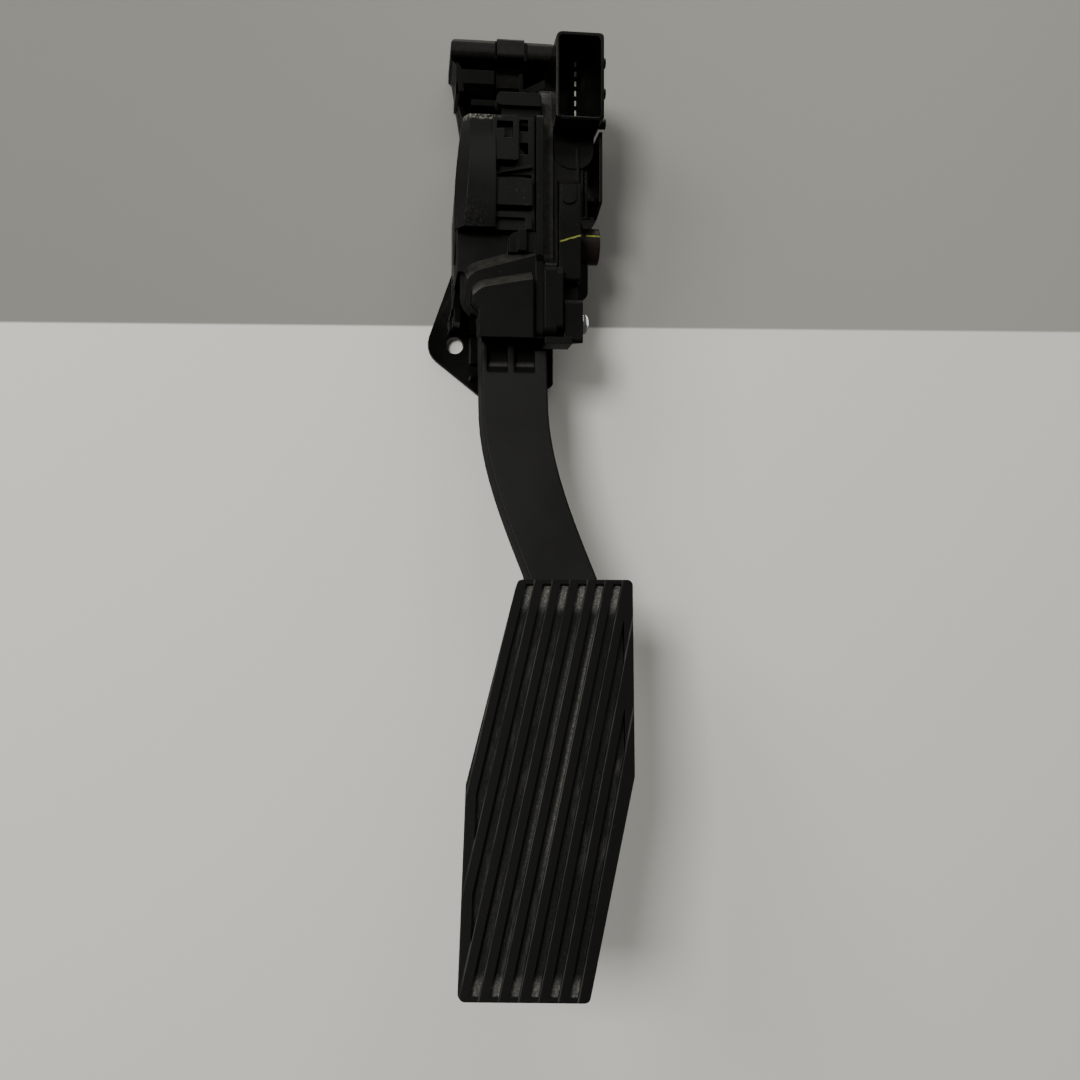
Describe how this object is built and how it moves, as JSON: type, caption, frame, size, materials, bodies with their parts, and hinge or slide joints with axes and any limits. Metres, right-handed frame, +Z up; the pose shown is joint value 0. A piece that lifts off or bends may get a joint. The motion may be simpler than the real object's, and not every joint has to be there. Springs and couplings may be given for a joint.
{
  "type": "accelerator pedal",
  "caption": "Suspended car accelerator pedal with a moulded housing, top mounting rail, side position sensor with connector, sprung arm and ribbed tread.",
  "frame": {"origin": "on the flat back of the housing that lies against the bulkhead, on the centre plane of the arm's top, level with the pivot", "axes": "+X across the car to the right as the driver sees it, +Y from the pedal into the bulkhead, +Z up; the pivot runs along X"},
  "size_m": [0.0665, 0.1172, 0.3257],
  "materials": {
    "case_plastic": "satin black glass-filled moulding with a fine grain",
    "sensor_plastic": "satin dark grey-black moulding",
    "seal_rubber": "black rubber seal",
    "board_laminate": "green laminate board",
    "chip_resin": "black moulded resin",
    "terminal_brass": "tinned brass blade",
    "zinc_steel": "bright zinc plated steel",
    "cap_plastic": "brown-black moulding",
    "bush_plastic": "low friction bearing plastic",
    "stop_rubber": "soft black rubber",
    "spring_steel": "drawn spring steel",
    "arm_plastic": "satin black moulding, smooth front",
    "tread_plastic": "black moulded tread, dusty in its grooves",
    "magnet_iron": "sintered magnet"
  },
  "bodies": {
    "housing_body": {"housing": "case_plastic", "spring_cover": "case_plastic", "sensor_cover": "sensor_plastic", "cover_gasket": "seal_rubber", "circuit_board": "board_laminate", "sensor_chip": "chip_resin", "terminal_pin_1": "terminal_brass", "terminal_pin_2": "terminal_brass", "terminal_pin_3": "terminal_brass", "terminal_pin_4": "terminal_brass", "terminal_pin_5": "terminal_brass", "terminal_pin_6": "terminal_brass", "cover_screw_1": "zinc_steel", "cover_screw_2": "zinc_steel", "cover_screw_3": "zinc_steel", "shaft_cap": "cap_plastic", "bush_left": "bush_plastic", "bush_right": "bush_plastic", "idle_stop": "stop_rubber", "full_stop": "stop_rubber", "outer_spring": "spring_steel", "inner_spring": "spring_steel"},
    "arm_body": {"pivot_shaft": "spring_steel", "pedal_arm": "arm_plastic", "pedal_pad": "tread_plastic", "spring_seat": "bush_plastic", "rotor_carrier": "bush_plastic", "rotor_magnet": "magnet_iron"}
  },
  "joints": [
    {"name": "pedal_pivot", "type": "hinge", "parent": "housing_body", "child": "arm_body", "pos_m": [0, -0.032, 0], "axis": [1, 0, 0], "range_deg": [0, 15], "stiffness_Nm_per_rad": 10, "springref_deg": -16.04, "deforming": ["outer_spring", "inner_spring"]}
  ]
}
